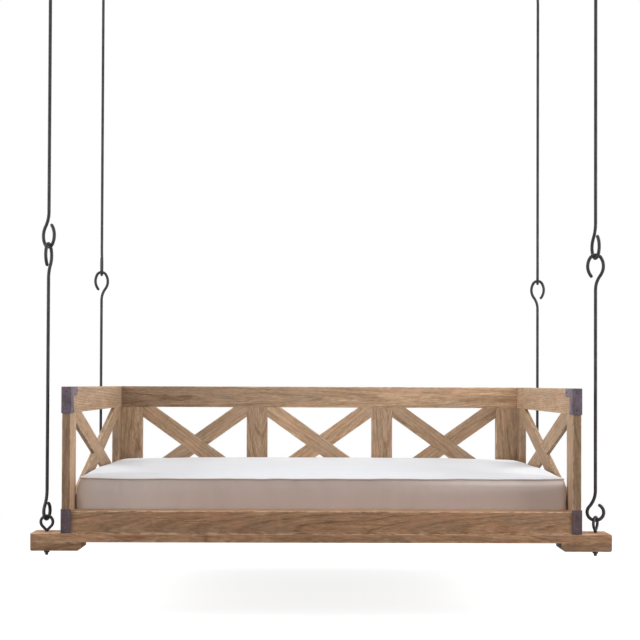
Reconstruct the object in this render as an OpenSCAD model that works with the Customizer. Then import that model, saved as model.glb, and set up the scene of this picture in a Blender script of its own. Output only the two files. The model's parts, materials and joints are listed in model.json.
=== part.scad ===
// Hanging swing bed: a timber daybed slung on four columns of forged hook rods.
// X runs along the seat, Y towards the back panel, Z up.
// The origin lies on the ceiling plane, midway between the four ceiling eyes.
// Inside the bed modules z = 0 is the top of the two long beams.

/* [Mattress] */
// Length of the mattress
mattress_len = 1905; // [1700:5:2050]
// Depth of the mattress from front to back
mattress_depth = 991; // [850:1:1200]
// Height of the mattress at its welted edge
mattress_h = 153; // [100:1:220]
// How far the middle of the mattress swells above its edge
mattress_crown = 14; // [4:1:30]
// Radius of the mattress corners seen from above
mattress_corner_r = 55; // [20:1:90]
// Gap at each end of the mattress
mattress_end_gap = 3; // [1:0.5:12]
// Gap between the mattress and the front rail
mattress_front_gap = 10; // [2:1:30]
// Gap between the mattress and the back panel
mattress_back_gap = 14; // [2:1:40]

/* [Panels] */
// Thickness of the panel boards
board_t = 32; // [24:1:45]
// Height of the side and back panels above the beams
panel_h = 555; // [420:5:750]
// Width of the upright stiles
stile_w = 100; // [80:1:130]
// Width of the top rails
top_rail_w = 100; // [80:1:130]
// Width of the bottom rails
bottom_rail_w = 95; // [70:1:130]
// Width of the diagonal braces
brace_w = 75; // [50:1:95]
// Thickness of the diagonal braces
brace_t = 18; // [12:1:24]
// Flat taken off every long edge of a board
edge_ease = 1.5; // [0.5:0.25:4]

/* [Joinery] */
// Thickness of the stile and rail tenons
tenon_t = 12; // [8:0.5:14]
// Length of the stile tenons in the top and bottom rails
tenon_len = 40; // [20:1:55]
// Length of the side bottom rails' tenons in the posts
low_tenon_len = 25; // [12:1:30]
// Shoulder left on each edge of a tenon
tenon_shoulder = 15; // [10:1:25]
// Clearance round each tenon in its mortise
joint_fit = 0.2; // [0.1:0.05:0.5]
// Extra depth of each mortise for glue
glue_depth = 2; // [1:0.5:4]

/* [Front rail] */
// Height of the front rail above the beam
front_rail_h = 84; // [60:1:130]
// Thickness of the front rail
front_rail_t = 70; // [50:1:85]
// Length of the front rail's tenons in the posts
front_tenon_len = 22; // [10:1:24]
// Thickness of the front rail's tenons
front_tenon_t = 30; // [15:1:35]

/* [Beams] */
// Depth of each long beam from front to back
beam_w = 89; // [80:1:110]
// Thickness of each long beam
beam_t = 35; // [25:1:60]
// How far a beam reaches past the side panels at each end
beam_overhang = 117; // [90:1:160]
// Length of the block under each beam end
block_len = 193; // [180:1:260]
// Thickness of the block under each beam end
block_t = 32; // [25:1:50]
// Length of the slope on the inner lower edge of a block
block_slope_len = 14; // [4:1:30]
// Height of that slope
block_slope_h = 10; // [4:1:20]
// Flat on the outer lower edge of a block
block_end_ease = 4; // [1:0.5:10]
// Distance from the beam's end to the eyebolt
eyebolt_inset = 51.5; // [40:0.5:60]

/* [Slats] */
// Number of slats under the mattress
slat_count = 13; // [7:1:15]
// Width of each slat
slat_w = 90; // [50:1:110]
// Thickness of each slat
slat_t = 19; // [12:1:30]
// Gap at each end of a slat
slat_end_gap = 3; // [1:0.5:10]
// Depth of the ledgers that carry the slats
ledger_w = 40; // [25:1:60]
// Height of the ledgers that carry the slats
ledger_h = 26; // [22:1:40]

/* [Hook rods] */
// Diameter of the rod's round bar
rod_d = 12.7; // [8:0.1:14]
// Radius of the round hooks at a column's two ends, at the middle of the bar
hook_r = 31; // [26:0.5:38]
// How far a round hook's tip comes round above the level of its middle
tip_angle = 63; // [40:1:75]
// Radius of the neck bend behind every hook
neck_r = 95; // [60:1:110]
// Radius of the long hooks' crown, where two rods hang in each other
crown_r = 24; // [20:0.5:28]
// Radius of the long hooks' sides
side_r = 62; // [50:1:90]
// Half the width of a long hook, at the middle of the bar
long_half_w = 29.5; // [29:0.5:36]
// How far a long hook's tip turns in past its widest point
long_tip_turn = 40; // [30:1:45]
// Length of the taper on a hook's tip
tip_taper = 4; // [1:0.5:8]
// How much thinner the bar is drawn at the necks, tips and eye legs
draw_down = 0.2; // [0.1:0.05:0.6]
// From the top hook to the bottom hook of a whole column, at the middle of the bar
column_len = 2477; // [2000:1:3200]
// Length of the two left lower rods from hook to hook
left_rod_len = 1056; // [600:1:1300]
// Length of the two right lower rods from hook to hook
right_rod_len = 1023; // [600:1:1300]
// Space between two pieces of iron that hang in each other
hang_gap = 0.4; // [0.3:0.05:1.5]

/* [Eyes] */
// Diameter of the round bar of the eyes
eye_bar_d = 11; // [8:0.1:12]
// Radius of an eye, at the middle of the bar
eye_r = 23; // [20:0.5:30]
// Height of the middle of an eye above its seat
eye_height = 37; // [32:0.5:50]
// Height above the seat at which the two legs of an eye meet
eye_root = 4; // [2:0.5:6]
// Diameter of an eyebolt's shank
shank_d = 12; // [11:0.1:14]
// Clearance round the shank in the wood
shank_fit = 0.3; // [0.1:0.05:1]
// Diameter of the eyebolt washers
washer_d = 30; // [24:0.5:44]
// Thickness of the eyebolt washers
washer_t = 2.5; // [1.5:0.1:4]
// Width across the flats of the eyebolt nuts
nut_w = 19; // [17:0.5:24]
// Height of the eyebolt nuts
nut_h = 10; // [6:0.5:14]
// Length of shank below the nut
shank_tail = 9; // [4:0.5:20]
// Diameter of the screw shank of a ceiling eye
ceiling_shank_d = 14; // [13:0.1:16]
// Length of the screw shank of a ceiling eye
ceiling_shank_len = 75; // [50:1:120]
// Diameter of the blunt point of that shank
shank_point_d = 2; // [1:0.5:6]
// Diameter of the collar of a ceiling eye
collar_d = 46; // [36:1:70]
// Thickness of the collar of a ceiling eye
collar_t = 6; // [4:0.5:10]

/* [Iron brackets] */
// Thickness of the iron plate
plate_t = 2.5; // [1.5:0.1:4]
// Height of the upper brackets
upper_plate_h = 101; // [80:1:140]
// Width of an upper bracket's upright leg on the panel's faces
upper_leg_w = 45; // [34:1:60]
// Length of an upper bracket's tab along the top rail
tab_len = 110; // [80:1:160]
// Height of an upper bracket's tab
tab_h = 33; // [20:1:50]
// Height of the lower brackets
lower_plate_h = 91; // [70:1:120]
// Width of a lower bracket's leg on the outer face of the post
lower_leg_w = 48; // [40:1:60]
// How far a lower bracket laps over the end of the front rail
rail_lap = 4; // [2:0.5:20]

/* [Screws] */
// Diameter of the bracket screws
bracket_screw_d = 4; // [3:0.1:5]
// Diameter of the bracket screws' heads
bracket_head_d = 9; // [7:0.5:11]
// Height of the bracket screws' heads
bracket_head_h = 2; // [1:0.1:3]
// Length of the bracket screws under the head
bracket_screw_len = 10; // [7:0.5:11]
// Diameter of the long wood screws
wood_screw_d = 6; // [4:0.1:7]
// Diameter of the long wood screws' heads
wood_head_d = 11; // [8:0.5:13]
// Length of the long wood screws
wood_screw_len = 62; // [50:1:68]
// Diameter of the lag screws that hold the posts to the beams
lag_d = 8; // [6:0.1:10]
// Width across the flats of the lag screws' heads
lag_head_w = 13; // [11:0.5:15]
// Height of the lag screws' heads
lag_head_h = 5.5; // [4:0.1:8]
// Length of the lag screws under the head
lag_len = 115; // [90:1:140]
// Depth of the pocket over each lag screw's head
lag_pocket = 9; // [9:0.5:15]
// Space round the lag screw's head in its pocket
pocket_gap = 1; // [0.5:0.5:3]
// Clearance round every screw in its hole
screw_fit = 0.15; // [0.1:0.05:0.4]

/* [Hidden] */
$fn = 64;
eps = 0.5;              // how far a cutter runs past the face that it opens
bite = 1;               // how far a drawn-down stretch of bar runs into the full bar
back_bays = 3;          // crossed bays in the back panel
ledger_screws = 5;      // screws in each ledger

// Colours of the bare model
timber = [0.55, 0.43, 0.32];
pale_timber = [0.65, 0.53, 0.41];
iron = [0.16, 0.15, 0.16];
patina = [0.27, 0.22, 0.26];
linen = [0.80, 0.76, 0.73];

// The panels take their size from the mattress
inner_w = mattress_len + 2 * mattress_end_gap;
outer_w = inner_w + 2 * board_t;
depth = front_rail_t + mattress_front_gap + mattress_depth + mattress_back_gap + board_t;
front_y = -depth / 2;
back_y = depth / 2;
post_x = inner_w / 2 + board_t / 2;
back_panel_y = back_y - board_t / 2;
bay_h = panel_h - top_rail_w - bottom_rail_w;
bay_z = bottom_rail_w + bay_h / 2;
side_bay_w = depth - 2 * stile_w;
back_bay_w = (inner_w - (back_bays + 1) * stile_w) / back_bays;
back_pitch = back_bay_w + stile_w;
stile_len = panel_h - top_rail_w;

// Beams and eyebolts
beam_len = outer_w + 2 * beam_overhang;
beam_y = depth / 2 - beam_w / 2;
eye_x = beam_len / 2 - eyebolt_inset;
stack_t = beam_t + block_t;
// The lag screws stand midway between the two tenons that meet in the foot of a post
front_tenon_back = front_rail_t / 2 + front_tenon_t / 2;
lag_y = depth / 2 - (front_tenon_back + stile_w - low_tenon_len - glue_depth) / 2;
shank_len = stack_t + washer_t + nut_h + shank_tail;

// Slats and mattress
front_ledger_y = front_y + front_rail_t;
back_ledger_y = back_y - board_t;
slat_len = back_ledger_y - front_ledger_y - 2 * slat_end_gap;
slat_gap = (inner_w - slat_count * slat_w) / (slat_count + 1);
soft_gap = 0.3;
mattress_z = ledger_h + slat_t + soft_gap;
mattress_y = front_ledger_y + mattress_front_gap + mattress_depth / 2;

// Hooks: the neck bend carries the bar off the load line, and the hook brings it back over.
// A reach is the height of the middle of the bar in a hook above the foot of its neck
drawn_d = rod_d - draw_down;
hook_neck_turn = acos(neck_r / (neck_r + hook_r));
hook_turn = 180 + hook_neck_turn + tip_angle;
hook_reach = hook_r + (neck_r + hook_r) * sin(hook_neck_turn);

// A long hook is a crown between two sides of a larger radius
long_neck_turn = acos((neck_r + side_r - long_half_w) / (neck_r + side_r));
crown_half = asin((side_r - long_half_w) / (side_r - crown_r));
long_reach = (neck_r + side_r) * sin(long_neck_turn) + (side_r - crown_r) * cos(crown_half) + crown_r;

// Eyes: half the angle at the ring's middle between the two legs, and the legs' own length
root_drop = eye_height - eye_root;
leg_turn = acos(eye_r / root_drop);
leg_len = sqrt(pow(root_drop, 2) - pow(eye_r, 2));

// Where the iron hangs in iron
eye_top = eye_height + eye_r;
hook_wire = eye_top - (rod_d + eye_bar_d) / 2 - hang_gap;
bed_drop = column_len + 2 * hook_wire;
link_drop = rod_d + hang_gap;

// Each corner: name, side in X, side in Y, and how far its forgings are turned about Z.
// A ring or hook at 0 lies in the X-Z plane. The turns follow the way that they hang.
NAME = 0;
SIDE = 1;
ROW = 2;
BED_EYE = 3;
LOWER_ROD = 4;
UPPER_ROD = 5;
TOP_HOOK = 6;
CEILING_EYE = 7;
corners = [
  ["front_left", -1, -1, 0, 82, -33, 0, 90],
  ["front_right", 1, -1, 56, -12, -78, -62, 0],
  ["back_left", -1, 1, 118, 20, 104, 90, 0],
  ["back_right", 1, 1, 65, 160, 78, 90, 0]
];
sides = [["left", -1], ["right", 1]];
slopes = [["falling", -1], ["rising", 1]];

// ---- places ----

module on_bed() translate([0, 0, -bed_drop]) children();

module at_corner(c) translate([c[SIDE] * eye_x, c[ROW] * beam_y, 0]) children();

// A side panel is drawn as seen from the +X end, with its own X running from front to back
module at_side(s) translate([s * post_x, 0, 0]) rotate([0, 0, 90]) children();

module at_back() translate([0, back_panel_y, 0]) children();

// ---- boards ----

// Cross-section of a board whose four long edges are eased
module eased_section(w, t) {
  x = w / 2;
  y = t / 2;
  e = edge_ease;
  polygon([[-x + e, -y], [x - e, -y], [x, -y + e], [x, y - e],
           [x - e, y], [-x + e, y], [-x, y - e], [-x, -y + e]]);
}

module board_along_x(l, depth_y, height_z)
  rotate([90, 0, 90])
    translate([0, 0, -l / 2])
      linear_extrude(l)
        eased_section(depth_y, height_z);

module board_along_z(l, w, t) linear_extrude(l) eased_section(w, t);

// A tenon that points up from z = 0, with a root that joins it to its board
module tenon(w, t, l)
  translate([-w / 2, -t / 2, -eps])
    cube([w, t, l + eps]);

module mortise(w, t, l)
  translate([-w / 2 - joint_fit, -t / 2 - joint_fit, -eps])
    cube([w + 2 * joint_fit, t + 2 * joint_fit, l + glue_depth + eps]);

module board_tenon(w, l = tenon_len) tenon(w - 2 * tenon_shoulder, tenon_t, l);

module board_mortise(w, l = tenon_len) mortise(w - 2 * tenon_shoulder, tenon_t, l);

// ---- crossed braces, half lapped where they meet ----

module diagonal(bay_w, slope)
  rotate([0, -slope * atan2(bay_h, bay_w), 0])
    children();

// The braces lie flush with the frame's inner face, which is its -Y face where inner is -1.
// The falling brace keeps its -Y half through the crossing, and the rising one its +Y half
module brace(bay_w, slope, inner) {
  reach = bay_w + bay_h;
  translate([0, inner * (board_t - brace_t) / 2, 0])
    difference() {
      intersection() {
        diagonal(bay_w, slope) board_along_x(reach, brace_t, brace_w);
        cube([bay_w, brace_t, bay_h], center = true);
      }
      diagonal(bay_w, -slope)
        translate([0, -slope * brace_t / 2, 0])
          cube([reach, brace_t, brace_w + 2 * joint_fit], center = true);
    }
}

// ---- side panels ----

module side_rail_shape()
  difference() {
    translate([0, 0, panel_h - top_rail_w / 2])
      board_along_x(depth, board_t, top_rail_w);
    for (end = [-1, 1])
      translate([end * (depth - stile_w) / 2, 0, stile_len])
        board_mortise(stile_w);
  }

// end is -1 for the front post and 1 for the rear one
module side_stile_shape(end)
  difference() {
    translate([end * (depth - stile_w) / 2, 0, 0])
      union() {
        board_along_z(stile_len, stile_w, board_t);
        translate([0, 0, stile_len]) board_tenon(stile_w);
      }
    translate([end * side_bay_w / 2, 0, bottom_rail_w / 2])
      rotate([0, end * 90, 0])
        board_mortise(bottom_rail_w, low_tenon_len);
  }

module side_bottom_rail_shape()
  translate([0, 0, bottom_rail_w / 2])
    union() {
      board_along_x(side_bay_w, board_t, bottom_rail_w);
      for (end = [-1, 1])
        translate([end * side_bay_w / 2, 0, 0])
          rotate([0, end * 90, 0])
            board_tenon(bottom_rail_w, low_tenon_len);
    }

module side_top_rail(s)
  color(pale_timber)
    difference() {
      at_side(s) side_rail_shape();
      at_bracket_screws(s) bracket_screw(screw_fit);
    }

module side_front_stile(s)
  color(pale_timber)
    difference() {
      at_side(s) side_stile_shape(-1);
      translate([s * inner_w / 2, front_y + front_rail_t / 2, front_rail_h / 2])
        rotate([0, s * 90, 0])
          mortise(front_rail_h - 2 * tenon_shoulder, front_tenon_t, front_tenon_len);
      at_bracket_screws(s) bracket_screw(screw_fit);
      at_post_lags() lag_screw(screw_fit);
    }

module side_rear_stile(s)
  color(pale_timber)
    difference() {
      at_side(s) side_stile_shape(1);
      at_corner_screws() wood_screw(screw_fit);
      at_post_lags() lag_screw(screw_fit);
    }

module side_bottom_rail(s) color(pale_timber) at_side(s) side_bottom_rail_shape();

module side_brace(s, slope)
  color(pale_timber)
    at_side(s)
      translate([0, 0, bay_z])
        brace(side_bay_w, slope, s);

// ---- back panel ----

module at_back_stiles()
  for (i = [0 : back_bays])
    translate([(i - back_bays / 2) * back_pitch, 0, 0])
      children();

module back_top_rail()
  color(timber)
    at_back()
      difference() {
        translate([0, 0, panel_h - top_rail_w / 2])
          board_along_x(inner_w, board_t, top_rail_w);
        at_back_stiles()
          translate([0, 0, stile_len])
            board_mortise(stile_w);
      }

module back_bottom_rail()
  color(timber)
    difference() {
      at_back()
        translate([0, 0, bottom_rail_w / 2])
          board_along_x(inner_w, board_t, bottom_rail_w);
      at_back()
        at_back_stiles()
          translate([0, 0, bottom_rail_w])
            mirror([0, 0, 1])
              board_mortise(stile_w);
      at_ledger_screws() wood_screw(screw_fit);
    }

module back_stile(i)
  color(timber)
    difference() {
      at_back()
        translate([(i - back_bays / 2) * back_pitch, 0, bottom_rail_w])
          union() {
            board_along_z(bay_h, stile_w, board_t);
            translate([0, 0, bay_h]) board_tenon(stile_w);
            mirror([0, 0, 1]) board_tenon(stile_w);
          }
      at_corner_screws() wood_screw(screw_fit);
    }

module back_brace(bay, slope)
  color(timber)
    at_back()
      translate([(bay - (back_bays + 1) / 2) * back_pitch, 0, bay_z])
        brace(back_bay_w, slope, -1);

// ---- front rail, beams and blocks ----

module front_rail()
  color(timber)
    difference() {
      translate([0, front_y + front_rail_t / 2, front_rail_h / 2])
        union() {
          board_along_x(inner_w, front_rail_t, front_rail_h);
          for (s = [-1, 1])
            translate([s * inner_w / 2, 0, 0])
              rotate([0, s * 90, 0])
                tenon(front_rail_h - 2 * tenon_shoulder, front_tenon_t, front_tenon_len);
        }
      at_ledger_screws() wood_screw(screw_fit);
    }

// row is -1 for the front beam and 1 for the back one
module beam(row)
  color(timber)
    difference() {
      translate([0, row * beam_y, -beam_t / 2])
        board_along_x(beam_len, beam_w, beam_t);
      at_eye_shanks() shank_hole();
      at_post_lags() lag_screw(screw_fit);
    }

// Outline of an end block from the side: x = 0 is its outer end, z = 0 the beam's underside
module block_outline()
  polygon([[0, 0], [-block_len, 0], [-block_len, -block_t + block_slope_h],
           [-block_len + block_slope_len, -block_t], [-block_end_ease, -block_t],
           [0, -block_t + block_end_ease]]);

module end_block(c)
  color(timber)
    difference() {
      translate([c[SIDE] * beam_len / 2, c[ROW] * beam_y, -beam_t])
        mirror([c[SIDE] < 0 ? 1 : 0, 0, 0])
          rotate([90, 0, 0])
            translate([0, 0, -beam_w / 2])
              linear_extrude(beam_w)
                block_outline();
      at_eye_shanks() shank_hole();
      at_post_lags() lag_screw(screw_fit);
    }

module shank_hole()
  translate([0, 0, -stack_t - eps])
    cylinder(d = shank_d + 2 * shank_fit, h = stack_t + 2 * eps);

// ---- slats and mattress ----

// row is -1 for the ledger on the front rail and 1 for the one on the back panel
module ledger(row)
  color(timber)
    difference() {
      translate([0, (row < 0 ? front_ledger_y : back_ledger_y) - row * ledger_w / 2, ledger_h / 2])
        board_along_x(inner_w, ledger_w, ledger_h);
      at_ledger_screws() wood_screw(screw_fit);
    }

module slats()
  color(pale_timber)
    for (i = [0 : slat_count - 1])
      translate([-inner_w / 2 + slat_gap + slat_w / 2 + i * (slat_w + slat_gap),
                 (front_ledger_y + back_ledger_y) / 2, ledger_h + slat_t / 2])
        rotate([0, 0, 90])
          board_along_x(slat_len, slat_w, slat_t);

// A slab of the mattress's outline, drawn in from its edge by inset
module mattress_slab(inset, z, h)
  translate([0, mattress_y, mattress_z + z])
    linear_extrude(h)
      hull()
        for (x = [-1, 1], y = [-1, 1])
          translate([x * (mattress_len / 2 - mattress_corner_r),
                     y * (mattress_depth / 2 - mattress_corner_r)])
            circle(r = mattress_corner_r - inset, $fn = 32);

module mattress()
  color(linen)
    hull() {
      mattress_slab(mattress_corner_r / 4, 0, 1);
      mattress_slab(0, mattress_corner_r / 4, mattress_h - mattress_corner_r / 2);
      mattress_slab(mattress_corner_r / 8, 0, mattress_h);
      mattress_slab(mattress_corner_r * 0.8, mattress_h, mattress_crown);
    }

// ---- forged hook rods ----

// A bend of a bar that starts at the origin going up and turns towards +X. It runs on by
// lap at both ends, into the full bar that it joins
module bend(r, turn, d, lap = 0) {
  lap_turn = lap / r * 180 / PI;
  translate([r, 0, 0])
    rotate([90, 0, 0])
      rotate([0, 0, 180 - turn - lap_turn])
        rotate_extrude(angle = turn + 2 * lap_turn)
          translate([r, 0])
            circle(d = d);
}

// Carries on from the end of such a bend
module after_bend(r, turn)
  translate([r * (1 - cos(turn)), 0, r * sin(turn)])
    rotate([0, turn, 0])
      children();

module tip()
  translate([0, 0, -bite])
    cylinder(d1 = drawn_d, d2 = drawn_d * 0.6, h = tip_taper + bite);

// A hook at the top of a rod, from the foot of its neck: the bar leans to +X, goes over
// the load line and comes down on the -X side
module round_hook() {
  bend(neck_r, hook_neck_turn, drawn_d, bite);
  after_bend(neck_r, hook_neck_turn)
    mirror([1, 0, 0]) {
      bend(hook_r, hook_turn, rod_d);
      after_bend(hook_r, hook_turn) tip();
    }
}

// The same with long sides. The full bar of each side takes in the drawn bar of the crown
module long_hook() {
  rise_turn = long_neck_turn + 90 - crown_half;
  fall_turn = 90 - crown_half + long_tip_turn;
  bend(neck_r, long_neck_turn, drawn_d, bite);
  after_bend(neck_r, long_neck_turn)
    mirror([1, 0, 0]) {
      bend(side_r, rise_turn, rod_d);
      after_bend(side_r, rise_turn) {
        bend(crown_r, 2 * crown_half, drawn_d, bite);
        after_bend(crown_r, 2 * crown_half) {
          bend(side_r, fall_turn, rod_d);
          after_bend(side_r, fall_turn) tip();
        }
      }
    }
}

// A rod between two hooks. z = 0 is the middle of the bar under the bottom hook.
// The children are the top hook and the bottom one, each with its reach and its turn
module hook_rod(len, top_reach, top_turn, bottom_reach, bottom_turn) {
  translate([0, 0, bottom_reach])
    cylinder(d = rod_d, h = len - top_reach - bottom_reach);
  translate([0, 0, len - top_reach])
    rotate([0, 0, top_turn])
      children(0);
  translate([0, 0, bottom_reach])
    rotate([0, 180, bottom_turn])
      children(1);
}

function lower_len(c) = c[SIDE] < 0 ? left_rod_len : right_rod_len;

module lower_rod(c)
  color(iron)
    at_corner(c)
      translate([0, 0, -bed_drop + hook_wire])
        hook_rod(lower_len(c), long_reach, c[LOWER_ROD], hook_reach, c[LOWER_ROD]) {
          long_hook();
          round_hook();
        }

// The upper rod's bottom hook passes under the lower rod's top hook
module upper_rod(c)
  color(iron)
    at_corner(c)
      translate([0, 0, -bed_drop + hook_wire + lower_len(c) - link_drop])
        hook_rod(column_len - lower_len(c) + link_drop,
                 hook_reach, c[TOP_HOOK], long_reach, c[UPPER_ROD]) {
          round_hook();
          long_hook();
        }

// ---- eyes, washers and nuts ----

// A ring of round bar whose two legs run together above the seat at z = 0
module eye() {
  translate([0, 0, eye_height])
    rotate([90, 0, 0])
      rotate([0, 0, leg_turn - 90])
        rotate_extrude(angle = 360 - 2 * leg_turn)
          translate([eye_r, 0])
            circle(d = eye_bar_d);
  for (s = [-1, 1])
    translate([0, 0, eye_root])
      rotate([0, s * (90 - leg_turn), 0])
        cylinder(d = eye_bar_d - draw_down, h = leg_len + bite);
}

module eyebolt(c)
  color(iron)
    at_corner(c)
      rotate([0, 0, c[BED_EYE]]) {
        eye();
        translate([0, 0, -shank_len])
          cylinder(d = shank_d, h = shank_len + 2 * eye_root);
      }

module ceiling_eye(c)
  color(iron)
    at_corner(c)
      rotate([0, 0, c[CEILING_EYE]]) {
        mirror([0, 0, 1]) eye();
        translate([0, 0, -collar_t])
          cylinder(d1 = collar_d * 0.7, d2 = collar_d, h = collar_t);
        cylinder(d = ceiling_shank_d, h = ceiling_shank_len - ceiling_shank_d);
        translate([0, 0, ceiling_shank_len - ceiling_shank_d])
          cylinder(d1 = ceiling_shank_d, d2 = shank_point_d, h = ceiling_shank_d);
      }

module at_eye_shanks()
  for (c = corners)
    at_corner(c)
      children();

module washer()
  difference() {
    cylinder(d = washer_d, h = washer_t);
    translate([0, 0, -eps])
      cylinder(d = shank_d + 2 * shank_fit, h = washer_t + 2 * eps);
  }

module eye_washers()
  color(iron)
    at_eye_shanks()
      translate([0, 0, -stack_t - washer_t])
        washer();

module eye_nuts()
  color(iron)
    at_eye_shanks()
      translate([0, 0, -stack_t - washer_t - nut_h])
        difference() {
          cylinder(d = nut_w / cos(30), h = nut_h, $fn = 6);
          translate([0, 0, -eps])
            cylinder(d = shank_d + 2 * screw_fit, h = nut_h + 2 * eps);
        }

// ---- iron corner brackets ----

// Side outline of an upper bracket: x is the distance behind the post's front face
module upper_outline() {
  top = panel_h;
  polygon([[-plate_t, top], [tab_len, top], [tab_len, top - tab_h], [upper_leg_w, top - tab_h],
           [upper_leg_w, top - upper_plate_h], [-plate_t, top - upper_plate_h]]);
}

// It wraps the front of the post and both faces of the panel
module upper_bracket(s)
  color(patina)
    difference() {
      translate([s * post_x - board_t / 2 - plate_t, front_y, 0])
        rotate([90, 0, 90])
          linear_extrude(board_t + 2 * plate_t)
            upper_outline();
      translate([s * post_x - board_t / 2, front_y, 0])
        cube([board_t, tab_len + eps, panel_h + eps]);
      at_bracket_screws(s) bracket_screw(screw_fit);
    }

// Plan of a lower bracket: x is the distance outwards from the post's inner face
module lower_outline() {
  out = board_t + plate_t;
  polygon([[-rail_lap, -plate_t], [out, -plate_t], [out, lower_leg_w],
           [board_t, lower_leg_w], [board_t, 0], [-rail_lap, 0]]);
}

module lower_bracket(s)
  color(patina)
    difference() {
      mirror([s < 0 ? 1 : 0, 0, 0])
        translate([inner_w / 2, front_y, 0])
          linear_extrude(lower_plate_h)
            lower_outline();
      at_bracket_screws(s) bracket_screw(screw_fit);
    }

// ---- screws: each is drawn going up, with the plate's or the wood's face at z = 0 ----

module bracket_screw(grow = 0) {
  translate([0, 0, -bracket_head_h])
    cylinder(d1 = bracket_head_d * 0.55, d2 = bracket_head_d, h = bracket_head_h);
  translate([0, 0, -eps])
    cylinder(d = bracket_screw_d + 2 * grow, h = bracket_screw_len + grow + eps);
}

module wood_screw(grow = 0) {
  head_h = (wood_head_d - wood_screw_d) / 2;
  translate([0, 0, grow > 0 ? -eps : 0])
    cylinder(d = wood_screw_d + 2 * grow, h = wood_screw_len + grow + (grow > 0 ? eps : 0));
  cylinder(d1 = wood_head_d + 2 * grow, d2 = wood_screw_d + 2 * grow, h = head_h);
}

// The lag screw's head lies in a pocket in the block's underside
module lag_screw(grow = 0) {
  if (grow > 0)
    translate([0, 0, -eps])
      cylinder(d = lag_head_w / cos(30) + 2 * pocket_gap, h = lag_pocket + eps);
  else
    translate([0, 0, lag_pocket - lag_head_h])
      cylinder(d = lag_head_w / cos(30), h = lag_head_h, $fn = 6);
  translate([0, 0, lag_pocket - eps])
    cylinder(d = lag_d + 2 * grow, h = lag_len + grow + eps);
}

module at_bracket_screws(s) {
  face_x = board_t / 2 + plate_t;
  leg_y = front_y + upper_leg_w - bracket_head_d;
  tab_y = front_y + tab_len - bracket_head_d;
  for (z = [panel_h - tab_h / 2, panel_h - upper_plate_h + 2 * bracket_head_d,
            bracket_head_d * 2, lower_plate_h - bracket_head_d * 2])
    translate([s * post_x, front_y - plate_t, z])
      rotate([-90, 0, 0])
        children();
  for (face = [-1, 1], place = [[tab_y, panel_h - tab_h / 2],
                                [leg_y, panel_h - upper_plate_h + bracket_head_d]])
    translate([s * post_x + face * face_x, place[0], place[1]])
      rotate([0, -90 * face, 0])
        children();
  for (z = [bracket_head_d * 2, lower_plate_h - bracket_head_d * 2])
    translate([s * (post_x + face_x), front_y + lower_leg_w - bracket_head_d, z])
      rotate([0, -90 * s, 0])
        children();
}

// Through the rear posts into the ends of the back panel
module at_corner_screws()
  for (s = [-1, 1], z = [bay_z - bay_h / 4, bay_z + bay_h / 4])
    translate([s * outer_w / 2, back_panel_y, z])
      rotate([0, -90 * s, 0])
        children();

// Through the ledgers into the front rail and the back bottom rail
module at_ledger_screws()
  for (row = [-1, 1], i = [0 : ledger_screws - 1])
    translate([(i - (ledger_screws - 1) / 2) * inner_w / ledger_screws,
               row < 0 ? front_ledger_y + ledger_w : back_ledger_y - ledger_w, ledger_h / 2])
      rotate([-90 * row, 0, 0])
        children();

// Up through each block and beam into its post
module at_post_lags()
  for (s = [-1, 1], row = [-1, 1])
    translate([s * post_x, row * lag_y, -stack_t])
      children();

module bracket_screws()
  color(iron)
    for (s = [-1, 1])
      at_bracket_screws(s)
        bracket_screw();

module post_lag_screws() color(iron) at_post_lags() lag_screw();

module frame_screws()
  color(iron) {
    at_corner_screws() wood_screw();
    at_ledger_screws() wood_screw();
  }

// ---- the nodes ----

for (c = corners) {
  ceiling_eye(c);
  upper_rod(c);
  lower_rod(c);
  on_bed() eyebolt(c);
  on_bed() end_block(c);
}
for (s = sides) {
  on_bed() side_front_stile(s[SIDE]);
  on_bed() side_rear_stile(s[SIDE]);
  on_bed() side_top_rail(s[SIDE]);
  on_bed() side_bottom_rail(s[SIDE]);
  on_bed() side_brace(s[SIDE], -1);
  on_bed() side_brace(s[SIDE], 1);
  on_bed() upper_bracket(s[SIDE]);
  on_bed() lower_bracket(s[SIDE]);
}
for (i = [0 : back_bays])
  on_bed() back_stile(i);
for (i = [1 : back_bays], d = slopes)
  on_bed() back_brace(i, d[SIDE]);
on_bed() back_top_rail();
on_bed() back_bottom_rail();
on_bed() front_rail();
on_bed() beam(-1);  // front_beam
on_bed() beam(1);  // back_beam
on_bed() ledger(-1);  // front_ledger
on_bed() ledger(1);  // back_ledger
on_bed() slats();
on_bed() eye_washers();
on_bed() eye_nuts();
on_bed() bracket_screws();
on_bed() post_lag_screws();
on_bed() frame_screws();
on_bed() mattress();
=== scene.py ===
# %% [markdown]
# # A hanging swing bed, dressed
#
# The solids of this bed come finished from the frame: every board, rod and bracket is already at
# its real size and in its real place. What they lack is what the eye reads first, which is the
# weathered timber, the forged iron, the patina on the brackets and the soft mattress. Each step
# below dresses one kind of piece, and none of them moves or resizes what carries load.
#
# All lengths are metres. X runs along the seat, Y towards the back panel and Z up, and z = 0 is
# the ceiling that the bed hangs from.

# %% Load the frame
import json
import math
import random

import bmesh
import bpy
import numpy as np
from mathutils import Matrix, Vector, noise


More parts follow.
